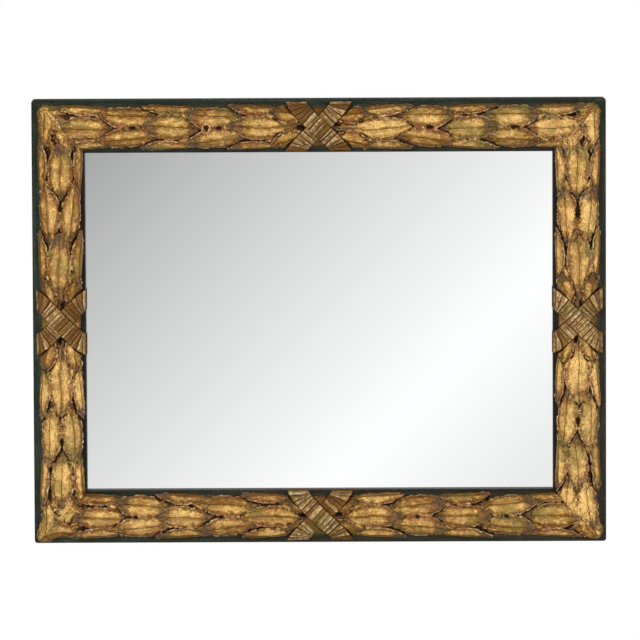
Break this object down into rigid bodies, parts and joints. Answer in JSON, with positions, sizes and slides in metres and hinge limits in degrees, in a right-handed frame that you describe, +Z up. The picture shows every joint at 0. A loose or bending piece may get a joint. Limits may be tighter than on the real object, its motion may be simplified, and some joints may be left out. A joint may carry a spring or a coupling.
{
  "type": "wall mirror",
  "caption": "Rectangular wall mirror in a dark green frame with a carved gilt laurel garland, tied at the middle of each side by a crossed pleated ribbon.",
  "frame": {"origin": "centre of the whole object's box", "axes": "+X to the right as seen from the front, +Y to the back, towards the wall, +Z up; the mirror faces -Y"},
  "size_m": [1.016, 0.066, 0.79],
  "materials": {
    "green_paint": "dark green paint, worn to the ground at the edges",
    "laurel_gilt": "carved wood, gilt over red bole, aged",
    "ribbon_gilt": "carved wood, gilt over red bole, aged",
    "mirror": "silvered behind, polished",
    "cushion": "matt grey board",
    "back_board": "bare, sanded board",
    "spline_wood": "bare hardwood",
    "screw_steel": "zinc plated",
    "hanger_steel": "zinc plated",
    "button_brass": "dull, tarnished",
    "felt_rubber": "matt black"
  },
  "bodies": {
    "frame": {"top_rail": "green_paint", "bottom_rail": "green_paint", "left_rail": "green_paint", "right_rail": "green_paint", "laurel_top_left": "laurel_gilt", "laurel_top_right": "laurel_gilt", "laurel_bottom_left": "laurel_gilt", "laurel_bottom_right": "laurel_gilt", "laurel_left_upper": "laurel_gilt", "laurel_left_lower": "laurel_gilt", "laurel_right_upper": "laurel_gilt", "laurel_right_lower": "laurel_gilt", "ribbon_top": "ribbon_gilt", "ribbon_bottom": "ribbon_gilt", "ribbon_left": "ribbon_gilt", "ribbon_right": "ribbon_gilt", "mirror_glass": "mirror", "cushion_sheet": "cushion", "backing_board": "back_board", "mitre_splines": "spline_wood", "turn_button_screws": "screw_steel", "hanger_strap_left": "hanger_steel", "hanger_strap_right": "hanger_steel", "hanger_screws": "screw_steel", "wall_bumper_left": "felt_rubber", "wall_bumper_right": "felt_rubber"},
    "turn_button_top_left": {"turn_button_top_left": "button_brass"},
    "turn_button_top_right": {"turn_button_top_right": "button_brass"},
    "turn_button_bottom_left": {"turn_button_bottom_left": "button_brass"},
    "turn_button_bottom_right": {"turn_button_bottom_right": "button_brass"},
    "turn_button_left_upper": {"turn_button_left_upper": "button_brass"},
    "turn_button_left_lower": {"turn_button_left_lower": "button_brass"},
    "turn_button_right_upper": {"turn_button_right_upper": "button_brass"},
    "turn_button_right_lower": {"turn_button_right_lower": "button_brass"},
    "hanger_ring_left": {"hanger_ring_left": "hanger_steel"},
    "hanger_ring_right": {"hanger_ring_right": "hanger_steel"}
  },
  "joints": [
    {"name": "ring_left_swing", "type": "hinge", "parent": "frame", "child": "hanger_ring_left", "pos_m": [-0.46325, 0.0292, 0.14], "axis": [-1, 0, 0], "range_deg": [0, 176]},
    {"name": "ring_right_swing", "type": "hinge", "parent": "frame", "child": "hanger_ring_right", "pos_m": [0.46325, 0.0292, 0.14], "axis": [-1, 0, 0], "range_deg": [0, 176]},
    {"name": "turn_button_top_left_spin", "type": "hinge", "parent": "frame", "child": "turn_button_top_left", "pos_m": [-0.27432, 0.0273, 0.3195], "axis": [0, 1, 0], "continuous": true},
    {"name": "turn_button_top_right_spin", "type": "hinge", "parent": "frame", "child": "turn_button_top_right", "pos_m": [0.27432, 0.0273, 0.3195], "axis": [0, 1, 0], "continuous": true},
    {"name": "turn_button_bottom_left_spin", "type": "hinge", "parent": "frame", "child": "turn_button_bottom_left", "pos_m": [-0.27432, 0.0273, -0.3195], "axis": [0, 1, 0], "continuous": true},
    {"name": "turn_button_bottom_right_spin", "type": "hinge", "parent": "frame", "child": "turn_button_bottom_right", "pos_m": [0.27432, 0.0273, -0.3195], "axis": [0, 1, 0], "continuous": true},
    {"name": "turn_button_left_upper_spin", "type": "hinge", "parent": "frame", "child": "turn_button_left_upper", "pos_m": [-0.4325, 0.0273, 0.2133], "axis": [0, 1, 0], "continuous": true},
    {"name": "turn_button_left_lower_spin", "type": "hinge", "parent": "frame", "child": "turn_button_left_lower", "pos_m": [-0.4325, 0.0273, -0.2133], "axis": [0, 1, 0], "continuous": true},
    {"name": "turn_button_right_upper_spin", "type": "hinge", "parent": "frame", "child": "turn_button_right_upper", "pos_m": [0.4325, 0.0273, 0.2133], "axis": [0, 1, 0], "continuous": true},
    {"name": "turn_button_right_lower_spin", "type": "hinge", "parent": "frame", "child": "turn_button_right_lower", "pos_m": [0.4325, 0.0273, -0.2133], "axis": [0, 1, 0], "continuous": true}
  ]
}
